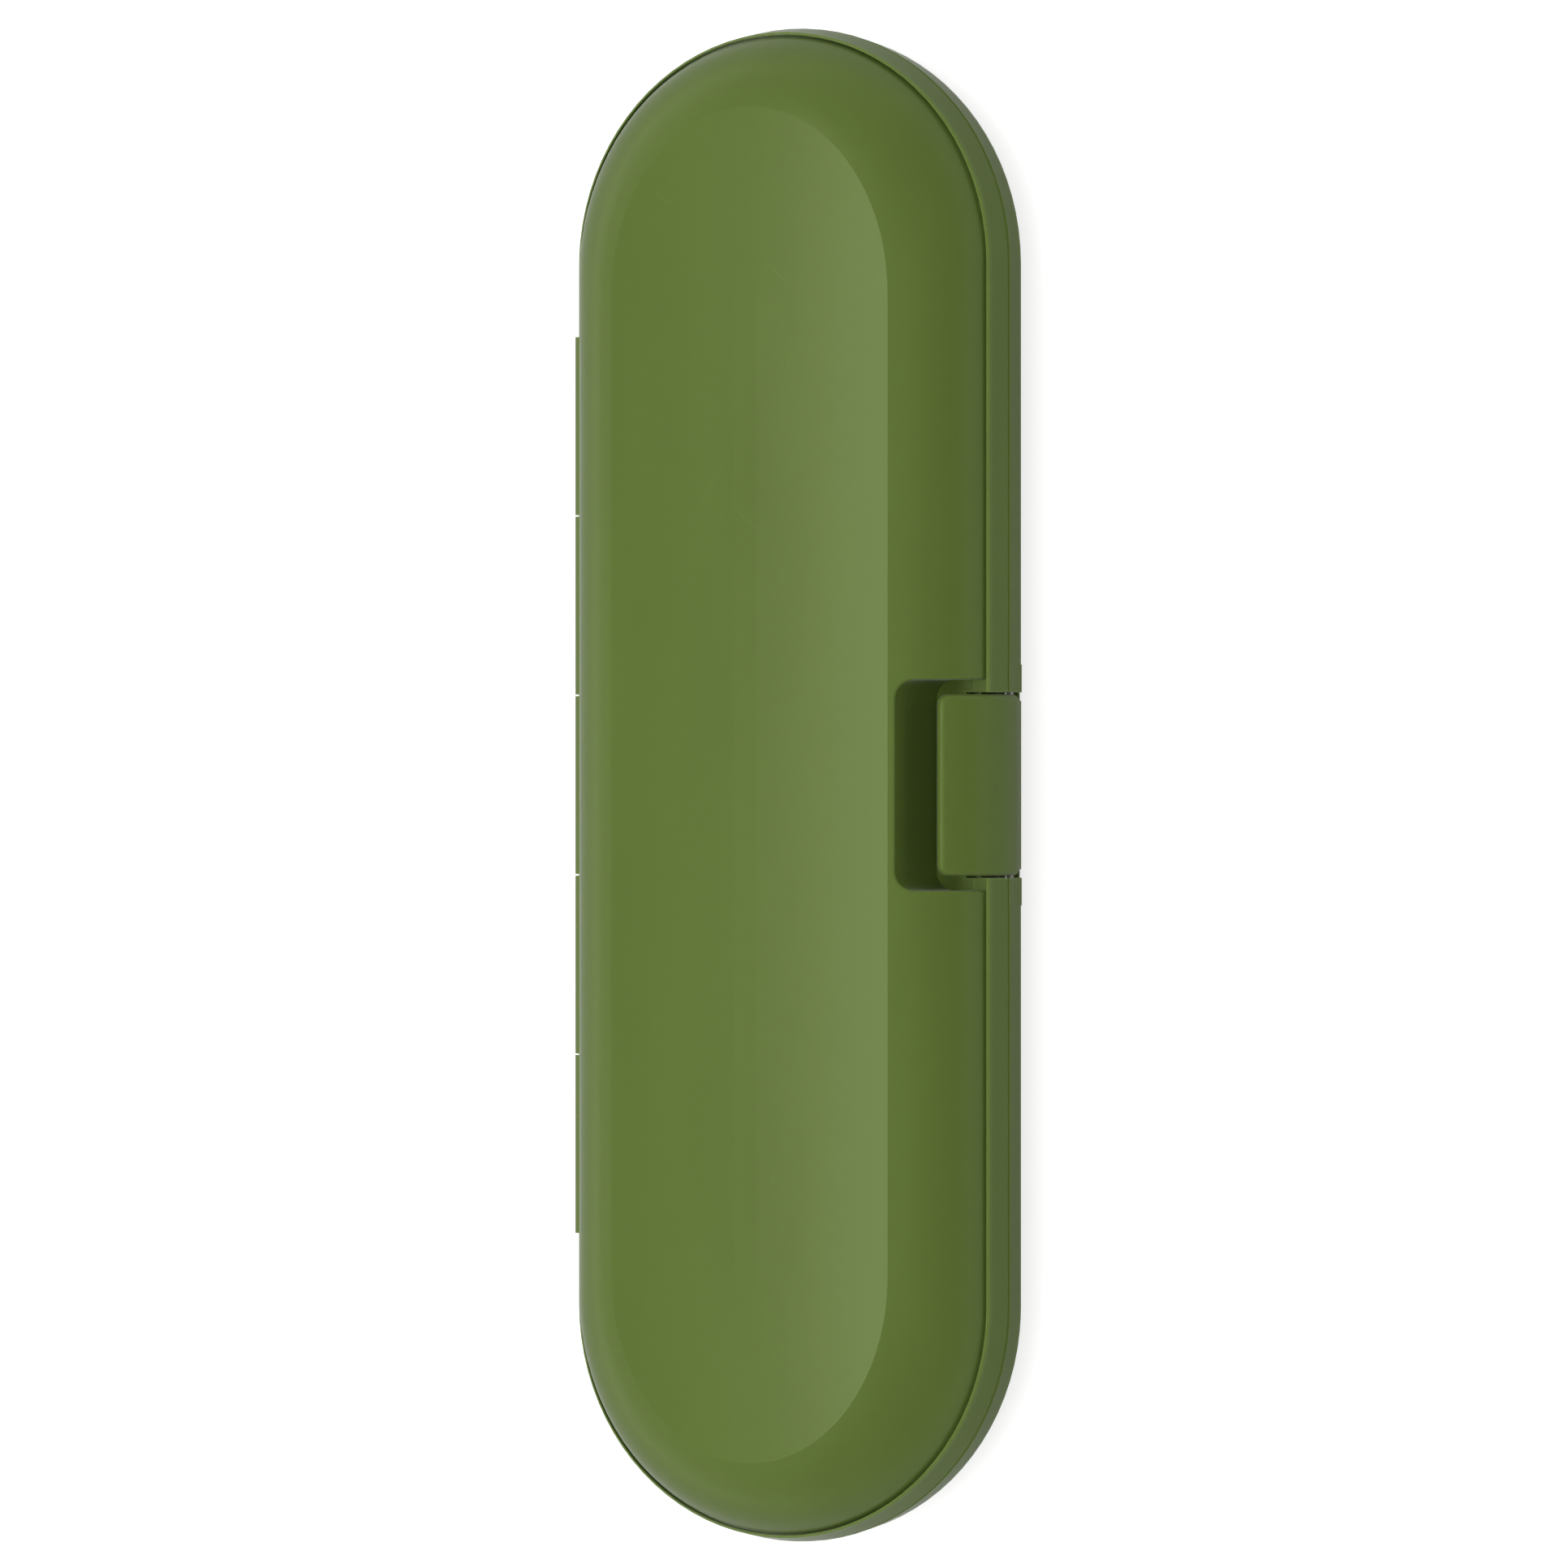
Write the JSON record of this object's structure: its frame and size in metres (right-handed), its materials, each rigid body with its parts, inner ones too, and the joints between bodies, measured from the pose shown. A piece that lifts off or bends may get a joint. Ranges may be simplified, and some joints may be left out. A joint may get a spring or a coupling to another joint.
{
  "type": "electric toothbrush travel case",
  "caption": "Round-ended hard travel case for an electric toothbrush, with a side hinge, a snap clip, a handle well and brush-head bays.",
  "frame": {"origin": "centre of the flat underside, under the middle of the case's bounding box", "axes": "+Z from the base towards the lid, Y along the case, +X towards the clip, with the hinge at -X"},
  "size_m": [0.0703, 0.216, 0.0326],
  "materials": {
    "green_shell": "satin moulded polypropylene, olive green",
    "green_inner": "fine-grained moulded polypropylene, olive green",
    "soft_grey": "matt soft elastomer",
    "steel": "drawn stainless wire"
  },
  "bodies": {
    "base": {"base_shell": "green_shell", "base_rim": "green_shell", "base_tray": "green_inner", "base_saddles": "soft_grey", "hinge_pin": "steel", "latch_pin": "steel"},
    "lid": {"lid_shell": "green_shell", "lid_rim": "green_shell", "lid_tray": "green_inner", "lid_saddles": "soft_grey"},
    "latch": {"latch_clip": "green_shell"}
  },
  "joints": [
    {"name": "lid_hinge", "type": "hinge", "parent": "base", "child": "lid", "pos_m": [-0.0341, 0, 0.0161], "axis": [0, -1, 0], "range_deg": [0, 178]},
    {"name": "latch_hinge", "type": "hinge", "parent": "base", "child": "latch", "pos_m": [0.0315, 0, 0.0121], "axis": [0, 1, 0], "range_deg": [0, 75]}
  ]
}
